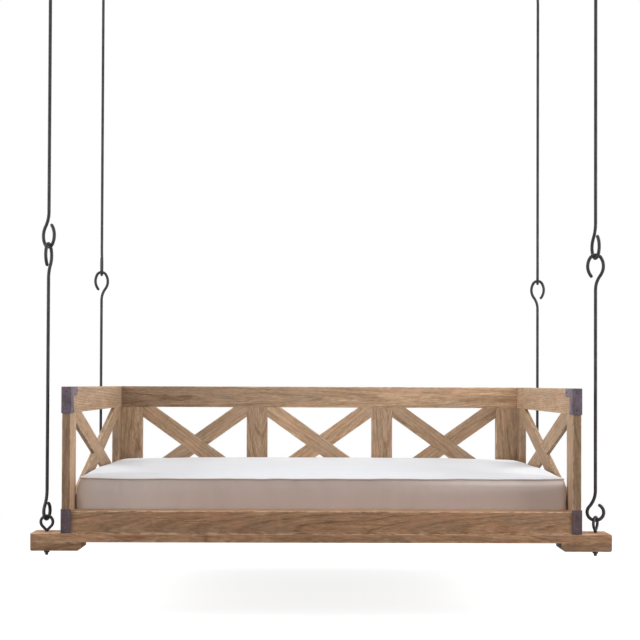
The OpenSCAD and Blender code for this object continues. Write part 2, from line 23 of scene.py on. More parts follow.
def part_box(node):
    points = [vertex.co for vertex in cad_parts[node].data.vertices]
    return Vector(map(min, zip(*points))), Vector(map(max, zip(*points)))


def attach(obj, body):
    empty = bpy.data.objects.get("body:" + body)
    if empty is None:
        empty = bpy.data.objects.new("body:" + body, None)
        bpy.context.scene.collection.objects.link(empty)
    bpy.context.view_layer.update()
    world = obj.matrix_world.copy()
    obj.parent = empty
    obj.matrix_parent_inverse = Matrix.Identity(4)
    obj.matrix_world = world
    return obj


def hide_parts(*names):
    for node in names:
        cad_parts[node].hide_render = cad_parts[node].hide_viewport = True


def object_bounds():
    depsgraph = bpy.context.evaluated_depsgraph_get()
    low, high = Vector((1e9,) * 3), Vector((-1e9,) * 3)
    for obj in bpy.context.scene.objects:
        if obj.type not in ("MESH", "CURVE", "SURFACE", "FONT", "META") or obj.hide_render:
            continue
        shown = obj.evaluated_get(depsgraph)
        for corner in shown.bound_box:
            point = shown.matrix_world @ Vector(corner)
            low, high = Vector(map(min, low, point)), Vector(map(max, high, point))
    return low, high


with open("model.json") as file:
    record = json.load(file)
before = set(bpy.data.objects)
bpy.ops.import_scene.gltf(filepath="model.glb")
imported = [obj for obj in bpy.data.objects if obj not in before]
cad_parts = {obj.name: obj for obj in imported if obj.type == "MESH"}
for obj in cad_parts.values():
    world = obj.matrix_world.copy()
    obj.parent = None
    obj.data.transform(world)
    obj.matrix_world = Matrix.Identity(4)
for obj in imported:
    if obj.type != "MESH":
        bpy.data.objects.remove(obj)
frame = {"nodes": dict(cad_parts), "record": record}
cad_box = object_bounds()
nodes = frame["nodes"]
body_of_node = {n: b for b, names in frame["record"]["behaviour"]["bodies"].items() for n in names}

# %% [markdown]
# ## The camera
#
# The picture was taken nearly square on, from about four metres, with the lens a little above the
# panels. A lens that looks level keeps the posts upright, and a vertical shift then frames the
# bed below the middle. That is how a product photographer does it, so the camera here is turned
# by less than a degree, and the shift does the framing.

# %% Place the camera
PHOTO_PX = 640
SENSOR_MM = 36
FOCAL_PX = 1048.2        # focal length, counted in pixels of the picture
AXIS_ROW_PX = 372        # the row of the picture that the lens axis meets
LENS_X = -0.0513         # where the lens stands along the bed, from its middle
LENS_BACK = 3.986        # from the front of the posts out to the lens
LENS_UP = 0.567          # from the top of the beams up to the lens
YAW, PITCH, ROLL = -0.0104, 0.0118, -0.0038    # how the camera is turned, in radians
beam_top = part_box("front_beam")[1].z
post_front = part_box("left_front_stile")[0].y

camera_data = bpy.data.cameras.new("camera")
camera_data.sensor_width = SENSOR_MM
camera_data.lens = FOCAL_PX * SENSOR_MM / PHOTO_PX
camera_data.shift_y = (AXIS_ROW_PX - PHOTO_PX / 2) / PHOTO_PX
camera = bpy.data.objects.new("camera", camera_data)
camera_turn = (Matrix.Rotation(YAW, 4, "Z") @ Matrix.Rotation(PITCH, 4, "X")
               @ Matrix.Rotation(ROLL, 4, "Y") @ Matrix.Rotation(math.pi / 2, 4, "X"))
lens_place = (LENS_X, post_front - LENS_BACK, beam_top + LENS_UP)
camera.matrix_world = Matrix.Translation(lens_place) @ camera_turn
bpy.context.collection.objects.link(camera)
bpy.context.scene.camera = camera
print("lens", round(camera_data.lens, 1), "mm at", [round(v, 2) for v in camera.location])

# %% [markdown]
# ## Building materials by script
#
# A material is a small graph of nodes. These helpers keep the graphs short to write: `put` adds
# one node and fills its sockets, where a value that is another node's output makes a link, and
# `ramp` sets the stops of a colour ramp. The same `put` serves Geometry Nodes later on.

# %% Helpers for node graphs
def put(tree, kind, inputs=None, **settings):
    """Adds a node with its properties. inputs maps each socket to a value or an output."""
    made = tree.nodes.new(kind)
    for key, value in settings.items():
        setattr(made, key, value)
    for key, value in (inputs or {}).items():
        if isinstance(value, bpy.types.NodeSocket):
            tree.links.new(value, made.inputs[key])
        else:
            made.inputs[key].default_value = value
    return made


def ramp(tree, factor, stops):
    """A colour ramp. stops are pairs of a place from 0 to 1 and an RGB colour."""
    made = put(tree, "ShaderNodeValToRGB", {"Fac": factor})
    band = made.color_ramp
    while len(band.elements) < len(stops):
        band.elements.new(1.0)
    for element, (place, colour) in zip(band.elements, stops):
        element.position = place
        element.color = (*colour, 1)
    return made.outputs["Color"]


def step(tree, value, low, high):
    """A smooth step: 0 below low, 1 above high."""
    made = put(tree, "ShaderNodeMapRange", {"Value": value, "From Min": low, "From Max": high},
               interpolation_type="SMOOTHSTEP")
    return made.outputs["Result"]


def maths(tree, operation, a, b=0.5):
    """One operation on two numbers. Those that need only one leave b as it is."""
    return put(tree, "ShaderNodeMath", {0: a, 1: b}, operation=operation).outputs[0]


def vector_maths(tree, operation, a, b=(0, 0, 0)):
    """The same on two vectors."""
    return put(tree, "ShaderNodeVectorMath", {0: a, 1: b}, operation=operation).outputs[0]


def attribute(tree, label, output="Vector"):
    """What the mesh says in one of its own attributes."""
    return put(tree, "ShaderNodeAttribute", attribute_name=label).outputs[output]


def total(tree, *parts):
    """The sum of weighted values, each given as a pair of a value and its weight."""
    result = None
    for value, weight in parts:
        term = maths(tree, "MULTIPLY", value, weight)
        result = term if result is None else maths(tree, "ADD", result, term)
    return result


def mixed(tree, factor, a, b):
    """Colour a where the factor is 0, and colour b where it is 1."""
    a, b = (c if isinstance(c, bpy.types.NodeSocket) else (*c, 1) for c in (a, b))
    made = put(tree, "ShaderNodeMix", {0: factor, 6: a, 7: b}, data_type="RGBA", blend_type="MIX")
    return made.outputs[2]


def noise_at(tree, where, scale, detail=3.0, roughness=0.55):
    """Soft noise from 0 to 1, stretched by a scale for each axis."""
    spread = vector_maths(tree, "MULTIPLY", where, scale)
    made = put(tree, "ShaderNodeTexNoise",
               {"Vector": spread, "Scale": 1.0, "Detail": detail, "Roughness": roughness})
    return made.outputs["Fac"]


def wavy_at(tree, where, scale, detail):
    """Three soft noises at once, one for each axis."""
    spread = vector_maths(tree, "MULTIPLY", where, scale)
    made = put(tree, "ShaderNodeTexNoise", {"Vector": spread, "Scale": 1.0, "Detail": detail})
    return made.outputs["Color"]


def new_material(name, roughness=0.6, metallic=0.0):
    """A material with a plain Principled shader, and that shader."""
    material = bpy.data.materials.new(name)
    material.use_nodes = True
    shader = material.node_tree.nodes["Principled BSDF"]
    shader.inputs["Roughness"].default_value = roughness
    shader.inputs["Metallic"].default_value = metallic
    return material, shader


def bumped(tree, shader, height, strength, distance):
    """Lets a height tilt the light on a surface. The mesh stays where it is."""
    bump = put(tree, "ShaderNodeBump",
               {"Height": height, "Strength": strength, "Distance": distance})
    tree.links.new(bump.outputs["Normal"], shader.inputs["Normal"])


def srgb(*levels):
    """A colour written as it looks, from 0 to 255, as the linear values that shaders take."""
    return tuple((v / 255 / 12.92) if v <= 10 else ((v / 255 + 0.055) / 1.055) ** 2.4
                 for v in levels)


print("helpers ready")

# %% [markdown]
# ## The floor, the backdrop and the light
#
# The picture's background is pure white. A floor that is lit until it turns white would also
# throw light up under the bed, and the undersides of these boards are nearly black. So the white
# is only for the eye: rays from the camera, and from shiny or clear surfaces, see a white floor
# and a white surround, and all other rays see a dull floor and a dim sky. Near the bed the floor
# still takes its shadow, and further out it fades into the surround, so that no horizon shows.
#
# The light is soft and comes mostly from above and from the two sides. That makes the mattress
# the brightest surface, and leaves what faces the lens a shade darker than what faces inwards.

# %% Floor and surround
FLOOR_DROP = 0.24        # from the lowest nut down to the floor
FLOOR_SIZE = 30.0
FADE_FROM, FADE_TO = 1.3, 3.2    # where the floor starts to fade, and where it is all white
FLOOR_GLOW = 0.80        # how white the floor near the bed is of itself
FLOOR_CATCH = 0.40       # how much it adds of the lamps' light, and so how much shadow it can show
SKY = 0.34               # the strength of the dim sky
floor_z = cad_box[0].z - FLOOR_DROP


def by_ray(tree, seen, lit_by):
    """Shows seen to rays from the camera, glossy and clear surfaces, and lit_by to all others."""
    path = put(tree, "ShaderNodeLightPath")
    shiny = maths(tree, "MAXIMUM", path.outputs["Is Camera Ray"], path.outputs["Is Glossy Ray"])
    direct = maths(tree, "MAXIMUM", shiny, path.outputs["Is Transmission Ray"])
    chosen = put(tree, "ShaderNodeMixShader", {0: direct, 1: lit_by.outputs[0], 2: seen.outputs[0]})
    return chosen.outputs[0]


floor_material = bpy.data.materials.new("floor")
floor_material.use_nodes = True
tree = floor_material.node_tree
tree.nodes.clear()
where = put(tree, "ShaderNodeTexCoord").outputs["Object"]
distance = put(tree, "ShaderNodeVectorMath", {0: where}, operation="LENGTH").outputs["Value"]
far = step(tree, distance, FADE_FROM, FADE_TO)
dull = put(tree, "ShaderNodeBsdfDiffuse", {"Color": (0.13, 0.125, 0.12, 1)})
grey = mixed(tree, far, (FLOOR_CATCH,) * 3, (0, 0, 0))
catch = put(tree, "ShaderNodeBsdfDiffuse", {"Color": grey})
strength = total(tree, (far, 1 - FLOOR_GLOW), (1.0, FLOOR_GLOW))
glow = put(tree, "ShaderNodeEmission", {"Color": (1, 1, 1, 1), "Strength": strength})
white = put(tree, "ShaderNodeAddShader", {0: catch.outputs[0], 1: glow.outputs[0]})
put(tree, "ShaderNodeOutputMaterial", {"Surface": by_ray(tree, white, dull)})

floor_mesh = bpy.data.meshes.new("floor")
half_floor = FLOOR_SIZE / 2
floor_mesh.from_pydata([(x * half_floor, y * half_floor, 0) for x, y in
                        ((-1, -1), (1, -1), (1, 1), (-1, 1))], [], [(0, 1, 2, 3)])
floor_mesh.materials.append(floor_material)
floor = bpy.data.objects.new("floor", floor_mesh)
floor.location.z = floor_z
bpy.context.collection.objects.link(floor)

world = bpy.data.worlds.new("studio")
world.use_nodes = True
bpy.context.scene.world = world
tree = world.node_tree
tree.nodes.clear()
sky = put(tree, "ShaderNodeBackground", {"Color": (1, 1, 1, 1), "Strength": SKY})
backdrop = put(tree, "ShaderNodeBackground", {"Color": (1, 1, 1, 1), "Strength": 1.0})
put(tree, "ShaderNodeOutputWorld", {"Surface": by_ray(tree, backdrop, sky)})
bpy.context.scene.view_settings.view_transform = "Standard"
print("floor at", round(floor_z, 3))

# %% Soft lamps
bed_middle = Vector((0, 0, beam_top + 0.25))


def softbox(name, place, size, watts, colour=(1, 1, 1)):
    """A rectangle of light that looks at the middle of the bed."""
    data = bpy.data.lights.new(name, "AREA")
    data.shape = "RECTANGLE"
    data.size, data.size_y = size
    data.energy = watts
    data.color = colour
    lamp = bpy.data.objects.new(name, data)
    lamp.location = place
    lamp.rotation_euler = (bed_middle - Vector(place)).to_track_quat("-Z", "Y").to_euler()
    bpy.context.collection.objects.link(lamp)


softbox("overhead", (0, -0.3, 1.4), (5.0, 3.6), watts=74)
softbox("left_side", (-4.4, -0.7, beam_top + 1.5), (3.0, 3.0), watts=162)
softbox("right_side", (4.4, -0.7, beam_top + 1.5), (3.0, 3.0), watts=182)
softbox("front_fill", (0.6, -6.5, beam_top + 1.8), (4.0, 3.0), watts=70, colour=(1, 0.92, 0.84))
softbox("back_fill", (-0.6, 6.5, beam_top + 1.2), (4.0, 3.0), watts=60, colour=(1, 0.94, 0.88))

# %% [markdown]
# ## Weathered timber
#
# The boards are a brown hardwood with close, wavy growth lines, fine dark pores along the fibre,
# greyed patches, and long edges that hands have worn paler; on the front rail, the beams and the
# end blocks those edges are paler still, and that is painted highlight as well as wear. Such a
# figure follows each board and not the room, so every board carries its own maps as mesh
# attributes. `grain` says how far along, across and through the log each corner lies, measured
# from a heart that is chosen for each board, and leaning a little, because a saw never follows a
# log exactly: that lean draws the pointed arches of a flat-sawn face. `at` and `half` say where on
# the board the corner lies and how big the board is, so the material can find the board's edges
# and ends. `tone` says how light each board is, partly its own shade of timber and partly painted
# light and shade. One material then serves all boards, whichever way they run.

# %% The timber material
BROAD_RINGS, CLOSE_RINGS = 0.0088, 0.0031    # from one growth line to the next, in two sizes
RIM = (0.0012, 0.0065)   # how far from a long edge the paler rim starts to fade, and where it ends; it is wear, and on the front timber also painted highlight
END_SKIN = (0.0004, 0.0012)      # the same for the dark end faces


def timber_material(name, deep, middle, pale, grey, rose, edge_wear_and_highlight):
    """Timber for a piece that carries the attributes grain, at, half and tone."""
    material, shader = new_material(name)
    tree = material.node_tree
    grain, tone = attribute(tree, "grain"), attribute(tree, "tone", "Fac")

    # Growth lines are circles round the heart, bent by two sizes of waviness
    log = grain
    for scale, detail, depth in (((1.6, 5, 5), 1.5, 0.030), ((9, 22, 22), 2.0, 0.006)):
        waves = wavy_at(tree, grain, scale, detail)
        bend = vector_maths(tree, "MULTIPLY", waves, (0, depth, depth))
        log = vector_maths(tree, "ADD", log, bend)
    log = vector_maths(tree, "MULTIPLY", log, (0, 1, 1))
    radius = put(tree, "ShaderNodeVectorMath", {0: log}, operation="LENGTH").outputs["Value"]

    def growth(spacing, sharpness):
        """Thin dark lines, one every spacing."""
        phase = maths(tree, "FRACT", maths(tree, "DIVIDE", radius, spacing))
        centred = maths(tree, "SUBTRACT", maths(tree, "MULTIPLY", phase, 2.0), 1.0)
        return maths(tree, "POWER", maths(tree, "ABSOLUTE", centred), sharpness)

    broad, close = growth(BROAD_RINGS, 3.0), growth(CLOSE_RINGS, 1.5)
    streaks = noise_at(tree, grain, (5.5, 130, 130), 5.0, 0.68)
    fibres = noise_at(tree, grain, (30, 330, 330), 3.0, 0.7)
    pores = step(tree, noise_at(tree, grain, (40, 520, 520), 2.0), 0.58, 0.74)
    patches = noise_at(tree, grain, (4.5, 13, 13), 4.0, 0.62)
    blush = noise_at(tree, vector_maths(tree, "ADD", grain, (7, 3, 5)), (7, 22, 22), 3.0)
    mottle = noise_at(tree, grain, (46, 90, 90), 4.0, 0.7)
    darkness = total(tree, (broad, 0.09), (close, 0.06), (streaks, 0.33), (fibres, 0.30),
                     (patches, 0.18), (mottle, 0.20))
    colour = ramp(tree, darkness, [(0.38, pale), (0.52, middle), (0.71, deep)])
    colour = mixed(tree, total(tree, (step(tree, patches, 0.48, 0.68), 0.26)), colour, grey)
    colour = mixed(tree, total(tree, (step(tree, blush, 0.50, 0.70), 0.45)), colour, rose)
    colour = mixed(tree, total(tree, (pores, 0.35)), colour, deep)

    # The distance to the nearest long edge, and to the nearest end
    off_middle = vector_maths(tree, "ABSOLUTE", attribute(tree, "at"))
    inside = vector_maths(tree, "SUBTRACT", attribute(tree, "half"), off_middle)
    apart = put(tree, "ShaderNodeSeparateXYZ", {0: inside})
    to_edge = maths(tree, "MAXIMUM", apart.outputs["Y"], apart.outputs["Z"])
    # A paler rim along each long edge: wear, and on the front timber, whose edge colour is paler
    # than its pale, also a painted highlight
    rim = maths(tree, "SUBTRACT", 1.0, step(tree, to_edge, *RIM))
    bruise = step(tree, noise_at(tree, grain, (28, 60, 60), 3.0), 0.40, 0.62)
    colour = mixed(tree, total(tree, (maths(tree, "MULTIPLY", rim, bruise), 0.55)), colour, edge_wear_and_highlight)
    end_face = maths(tree, "SUBTRACT", 1.0, step(tree, apart.outputs["X"], *END_SKIN))
    colour = mixed(tree, total(tree, (end_face, 0.55)), colour, deep)

    toned = put(tree, "ShaderNodeVectorMath", {0: colour, "Scale": tone}, operation="SCALE")
    tree.links.new(toned.outputs[0], shader.inputs["Base Color"])
    tree.links.new(total(tree, (streaks, 0.25), (1.0, 0.50)), shader.inputs["Roughness"])
    shader.inputs["Specular IOR Level"].default_value = 0.22
    height = total(tree, (broad, -0.5), (fibres, 0.8), (pores, -0.9), (bruise, 0.5))
    bumped(tree, shader, height, 0.4, 0.0010)
    return material


panel_timber = timber_material(
    "panel_timber", deep=srgb(112, 84, 62), middle=srgb(160, 132, 105), pale=srgb(197, 173, 146),
    grey=srgb(158, 147, 131), rose=srgb(184, 147, 122), edge_wear_and_highlight=srgb(200, 178, 152))
# The front timber's edge colour is paler than its pale, so its edges carry a painted highlight as
# well as wear
front_timber = timber_material(
    "front_timber", deep=srgb(102, 73, 53), middle=srgb(156, 121, 92), pale=srgb(192, 158, 127),
    grey=srgb(150, 132, 115), rose=srgb(178, 131, 103), edge_wear_and_highlight=srgb(214, 184, 156))
print("timber materials:", panel_timber.name, front_timber.name)

# %% [markdown]
# ## Dressing the boards
#
# The frame's meshes are loose triangles, and they are never edited. Each board is therefore
# copied, its doubled corners are merged and its flat faces are joined again, so that a bevel can
# run along the real edges. The joiner planed a small flat off every long edge, and here those
# flats are rounded, as handling rounds them.

# %% Copy, join and round a solid
SAME_POINT = 1e-5        # corners closer than this are one corner
FLAT_TURN = math.radians(0.6)    # faces that turn by less than this are one face
SOFT_TURN = math.radians(32)     # an edge that turns by less than this is shaded smooth
ROUND_TURN = math.radians(30)    # an edge that turns by more than this is rounded
ARRIS = 0.0006           # how far the edges of a board are rounded
PLATE_EDGE, SLAT_EDGE = 0.0005, 0.0015   # the same for a bracket and a slat


def clean_copy(node_name):
    """A bmesh of a solid, with its doubled corners merged and its flat faces joined."""
    bm = bmesh.new()
    bm.from_mesh(nodes[node_name].data)
    bmesh.ops.remove_doubles(bm, verts=bm.verts, dist=SAME_POINT)
    bmesh.ops.dissolve_limit(bm, angle_limit=FLAT_TURN, verts=bm.verts, edges=bm.edges)
    return bm


def as_piece(bm, name, material, node_name):
    """Turns a bmesh into a finished piece that stands for its solid and rides where it rides."""
    mesh = bpy.data.meshes.new(name)
    bm.to_mesh(mesh)
    bm.free()
    mesh.materials.append(material)
    mesh.shade_smooth()
    mesh.set_sharp_from_angle(angle=SOFT_TURN)
    piece = bpy.data.objects.new(name, mesh)
    bpy.context.collection.objects.link(piece)
    finish_piece(piece, node_name)
    return piece


def finish_piece(piece, node_name):
    """Hides the solid that a piece stands for, and hangs the piece on what that solid rides on."""
    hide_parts(node_name)
    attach(piece, body_of_node[node_name])


def round_edges(bm, width):
    """Rounds every sharp edge."""
    sharp = [e for e in bm.edges if len(e.link_faces) == 2 and e.calc_face_angle(0) > ROUND_TURN]
    bmesh.ops.bevel(bm, geom=sharp, offset=width, segments=2, affect="EDGES",
                    profile=0.6, clamp_overlap=True, harden_normals=False)


# %% Lay a board's maps and wear it
END_WEAR = (0.003, 0.008)        # how far the left and right ends of the beams are worn round
END_CUTS = (15, 35, 55, 75)      # the slopes of the cuts that make the round, in degrees
OUTER_END = 1.0          # an end that lies further out than this is an outer end of a beam
FACE_DEPTH = 0.0003      # how deep a board's front face is taken to be


def lay_grain(mesh, along, rng, tone, slope=0.0, islands=None):
    """Writes the maps grain, at, half and tone.

    tone is how light a board is, partly its own shade of timber and partly painted light and shade,
    and slope is how much that grows with each metre along the bed, a painted gradient of light.
    islands lists the vertices of each board, where the mesh holds more than one.
    """
    along = Vector(along).normalized()
    side = along.cross(Vector((0, 1, 0)) if abs(along.y) < 0.9 else Vector((0, 0, 1))).normalized()
    axes = np.array([along, side, along.cross(side)])
    points = np.empty(len(mesh.vertices) * 3)
    mesh.vertices.foreach_get("co", points)
    points = points.reshape(-1, 3)
    grain, at, half, tones = (np.zeros_like(points) for _ in range(4))
    for chosen in islands or [np.arange(len(points))]:
        local = points[chosen] @ axes.T
        low, high = local.min(0), local.max(0)
        local -= (low + high) / 2
        heart = np.array([rng.uniform(3, 40), rng.uniform(-0.04, 0.04), rng.uniform(0.035, 0.085)])
        lean = np.array([0, rng.uniform(-0.02, 0.02),
                         rng.choice((-1, 1)) * rng.uniform(0.015, 0.05)])
        grain[chosen] = local + heart + local[:, :1] * lean
        at[chosen] = local
        half[chosen] = (high - low) / 2
        tones[chosen, 0] = tone * rng.uniform(0.95, 1.05)
    for label, values in (("grain", grain), ("at", at), ("half", half)):
        written = mesh.attributes.new(label, "FLOAT_VECTOR", "POINT")
        written.data.foreach_set("vector", values.ravel())
    tones = tones[:, 0] + slope * points[:, 0]
    mesh.attributes.new("tone", "FLOAT", "POINT").data.foreach_set("value", tones)


def wear_ends(bm, upward):
    """Files the corner round where a beam's outer end meets its top, or its underside."""
    way = 1 if upward else -1
    edge_z = max(way * v.co.z for v in bm.verts) * way
    for side, radius in zip((-1, 1), END_WEAR):
        reach = max(side * v.co.x for v in bm.verts)
        if reach < OUTER_END:
            continue
        middle = Vector((side * (reach - radius), 0, edge_z - way * radius))
        for turn in map(math.radians, END_CUTS):
            slope = Vector((side * math.cos(turn), 0, way * math.sin(turn)))
            whole = bm.verts[:] + bm.edges[:] + bm.faces[:]
            bmesh.ops.bisect_plane(bm, geom=whole, clear_outer=True,
                                   plane_co=middle + slope * radius, plane_no=slope)
            bmesh.ops.holes_fill(bm, edges=[e for e in bm.edges if e.is_boundary])


def paint_front_shade(mesh, factor):
    """Paints shade on the face that a board turns to the front, by darkening its tone there."""
    front = min(v.co.y for v in mesh.vertices) + FACE_DEPTH
    tone = mesh.attributes["tone"].data
    for v in mesh.vertices:
        if v.co.y < front:
            tone[v.index].value *= factor


def board(node_name, along, material, tone, slope=0.0, worn_end=None):
    """Dresses one board. along is the way that its fibre runs."""
    bm = clean_copy(node_name)
    if worn_end:
        wear_ends(bm, worn_end == "top")
    round_edges(bm, ARRIS)
    piece = as_piece(bm, node_name + "_board", material, node_name)
    lay_grain(piece.data, along, random.Random(node_name), tone, slope)
    return piece


def brace_run(node_name):
    """The way that a brace runs. Its box is the bay that it crosses from corner to corner."""
    low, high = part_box(node_name)
    size = high - low
    rise = size.z if "rising" in node_name else -size.z
    if "back" in node_name:
        return Vector((size.x, 0, rise))
    return Vector((0, size.y, rise))


# %% Lay all the boards
ALONG, ACROSS, UPRIGHT = (1, 0, 0), (0, 1, 0), (0, 0, 1)    # the ways that fibre runs
# Each board's tone is partly its own shade of timber and partly painted light and shade
BACK_RAIL_TONE, SIDE_RAIL_TONES = 1.13, {"left": 1.13, "right": 1.24}
FRONT_RAIL_TONE, BEAM_TONE, BLOCK_TONE = 1.24, 1.31, 1.02
# The front stiles' tones are partly painted light, on the faces that they turn inwards
FRONT_STILE_LIT_TONES = {"left": 1.33, "right": 1.15}
FRONT_FACE_SHADE = 0.893   # the tone of both front stiles on the face that they turn to the front: painted shade
# Painted shade: the rear stiles are darkened, deep in the back corners
REAR_STILE_SHADE = 0.79
BACK_STILE_TONES = {"back_stile_1": 1.12, "back_stile_2": 0.97, "back_stile_3": 1.14,
                    "back_stile_4": 1.20}
BRACE_TONES = {"back_brace_1_falling": 1.18, "back_brace_1_rising": 1.08,
               "back_brace_2_falling": 1.30, "back_brace_2_rising": 1.34,
               "back_brace_3_falling": 1.06, "back_brace_3_rising": 1.12}
SIDE_BRACE_TONE = 1.12
# Painted light: these slopes make the rails and beams lighter or darker along the bed
TOP_RAIL_LIGHT_SLOPE, FRONT_RAIL_LIGHT_SLOPE, BEAM_LIGHT_SLOPE = 0.44, 0.07, -0.02
boards = [board("back_top_rail", ALONG, panel_timber, BACK_RAIL_TONE, TOP_RAIL_LIGHT_SLOPE)]
for name in ("back_bottom_rail", "back_ledger", "front_ledger"):
    boards.append(board(name, ALONG, panel_timber, BACK_RAIL_TONE))
boards.append(board("front_rail", ALONG, front_timber, FRONT_RAIL_TONE, FRONT_RAIL_LIGHT_SLOPE))
for name in ("front_beam", "back_beam"):
    boards.append(board(name, ALONG, front_timber, BEAM_TONE, BEAM_LIGHT_SLOPE, worn_end="top"))
for name in [n for n in nodes if n.startswith("end_block")]:
    boards.append(board(name, ALONG, front_timber, BLOCK_TONE, worn_end="foot"))
for side in ("left", "right"):
    for name in ("top_rail", "bottom_rail"):
        boards.append(board(f"{side}_{name}", ACROSS, panel_timber, SIDE_RAIL_TONES[side]))
    post = board(side + "_front_stile", UPRIGHT, panel_timber, FRONT_STILE_LIT_TONES[side])
    # Painted shade: the face that each post turns to the front is darkened
    paint_front_shade(post.data, FRONT_FACE_SHADE / FRONT_STILE_LIT_TONES[side])
    boards += [post, board(side + "_rear_stile", UPRIGHT, panel_timber, REAR_STILE_SHADE)]
for name, tone in BACK_STILE_TONES.items():
    boards.append(board(name, UPRIGHT, panel_timber, tone))
for name in [n for n in nodes if "brace" in n]:
    tone = BRACE_TONES.get(name, SIDE_BRACE_TONE)
    boards.append(board(name, brace_run(name), panel_timber, tone))
print("boards dressed:", len(boards), "faces:", sum(len(b.data.polygons) for b in boards))

# %% [markdown]
# ## Forged iron and patina
#
# The rods and eyes are black iron, left as the smith's hammer left it, with a dull oxide skin
# that breaks the light. The corner brackets are thin plate with a purple-brown patina, darker and
# browner on the two at the bottom. All are made from noise in the object's own coordinates, at
# the scale of a hammer's face for the rods and of a stain for the plates.

# %% Iron materials
def forged_material(name, dark, light, rust):
    """Iron with the marks of the hammer, a skin of oxide and a little rust."""
    material, shader = new_material(name, metallic=0.45)
    tree = material.node_tree
    where = put(tree, "ShaderNodeTexCoord").outputs["Object"]
    spread = vector_maths(tree, "MULTIPLY", where, (60, 60, 42))
    blows = put(tree, "ShaderNodeTexVoronoi", {"Vector": spread, "Scale": 1.0, "Smoothness": 0.6},
                feature="SMOOTH_F1")
    skin = noise_at(tree, where, (48, 48, 20), 4.0)
    pits = noise_at(tree, where, (520, 520, 520), 2.0)
    colour = ramp(tree, skin, [(0.35, dark), (0.72, light)])
    bloom = step(tree, noise_at(tree, where, (21, 21, 8), 3.0), 0.60, 0.74)
    colour = mixed(tree, total(tree, (bloom, 0.35)), colour, rust)
    tree.links.new(colour, shader.inputs["Base Color"])
    tree.links.new(total(tree, (pits, 0.28), (skin, 0.12), (1.0, 0.34)), shader.inputs["Roughness"])
    height = total(tree, (blows.outputs["Distance"], 1.0), (pits, 0.12))
    bumped(tree, shader, height, 0.45, 0.0022)
    return material


def patina_material(name, ground, bloom, rust):
    """Plate with cloudy patina and stains."""
    material, shader = new_material(name, metallic=0.2)
    tree = material.node_tree
    where = put(tree, "ShaderNodeTexCoord").outputs["Object"]
    clouds = noise_at(tree, where, (34, 34, 22), 5.0, 0.65)
    stains = noise_at(tree, where, (70, 70, 40), 3.0)
    grit = noise_at(tree, where, (700, 700, 700), 2.0)
    colour = ramp(tree, clouds, [(0.34, ground), (0.64, bloom)])
    colour = mixed(tree, total(tree, (step(tree, stains, 0.52, 0.70), 0.8)), colour, rust)
    tree.links.new(colour, shader.inputs["Base Color"])
    tree.links.new(total(tree, (clouds, 0.3), (1.0, 0.42)), shader.inputs["Roughness"])
    bumped(tree, shader, total(tree, (clouds, 1.0), (grit, 0.2)), 0.35, 0.0012)
    return material


forged_iron = forged_material("forged_iron", dark=srgb(30, 28, 31), light=srgb(58, 54, 60),
                              rust=srgb(72, 52, 46))
upper_plate = patina_material("bracket_iron", ground=srgb(74, 63, 74), bloom=srgb(116, 102, 116),
                              rust=srgb(100, 74, 68))
lower_plate = patina_material("bracket_iron_low", ground=srgb(56, 44, 48), bloom=srgb(92, 76, 84),
                              rust=srgb(94, 64, 54))
print("iron materials:", forged_iron.name, upper_plate.name, lower_plate.name)

# %% Dress the ironwork
hanging = ("upper_rod", "lower_rod", "eyebolt", "ceiling_eye")
iron_names = [n for n in nodes if n.startswith(hanging)]
iron_names += ["eye_washers", "eye_nuts", "post_lag_screws", "frame_screws"]
for name in iron_names:
    as_piece(clean_copy(name), name + "_iron", forged_iron, name)
plate_names = [n for n in nodes if "_bracket_" in n]
for name in plate_names:
    bm = clean_copy(name)
    round_edges(bm, PLATE_EDGE)
    as_piece(bm, name + "_plate", upper_plate if name.startswith("upper") else lower_plate, name)
as_piece(clean_copy("bracket_screws"), "bracket_screws_plate", lower_plate, "bracket_screws")
print("ironwork dressed:", len(iron_names), "forged,", len(plate_names), "brackets, and screws")

# %% [markdown]
# ## The slats
#
# Slats are one board repeated at even steps, so they suit Geometry Nodes: a line of points, and
# a board set on each. The tree has named inputs, and its sizes come from the frame: the frame's
# own slats are counted by the gaps between them, and measured.

# %% Slats by Geometry Nodes
CLEAR_GAP = 0.03         # more than a slat's rounding, and less than a slat or the space beside it
SLAT_TONE = 1.02


def new_tree(name, inputs):
    """A Geometry Nodes tree with named inputs, its group inputs and its group output."""
    tree = bpy.data.node_groups.new(name, "GeometryNodeTree")
    tree.interface.new_socket("Geometry", in_out="OUTPUT", socket_type="NodeSocketGeometry")
    for label, kind in inputs.items():
        tree.interface.new_socket(label, in_out="INPUT", socket_type="NodeSocket" + kind)
    return tree, tree.nodes.new("NodeGroupInput").outputs, tree.nodes.new("NodeGroupOutput")


def end_tree(tree, geometry, finish, out):
    """The end of every tree here: instances become a mesh, and the mesh gets its finish."""
    solid = put(tree, "GeometryNodeRealizeInstances", {"Geometry": geometry})
    painted = put(tree, "GeometryNodeSetMaterial",
                  {"Geometry": solid.outputs[0], "Material": finish})
    tree.links.new(painted.outputs[0], out.inputs[0])
    return tree


def slat_tree():
    """A line of points with a board on each."""
    tree, given, out = new_tree("slats", {"Count": "Int", "First": "Vector", "Step": "Vector",
                                          "Size": "Vector", "Timber": "Material"})
    line = put(tree, "GeometryNodeMeshLine",
               {"Count": given["Count"], "Start Location": given["First"], "Offset": given["Step"]})
    one = put(tree, "GeometryNodeMeshCube",
              {"Size": given["Size"], "Vertices X": 2, "Vertices Y": 9, "Vertices Z": 2})
    laid = put(tree, "GeometryNodeInstanceOnPoints",
               {"Points": line.outputs[0], "Instance": one.outputs[0]})
    return end_tree(tree, laid.outputs[0], given["Timber"], out)


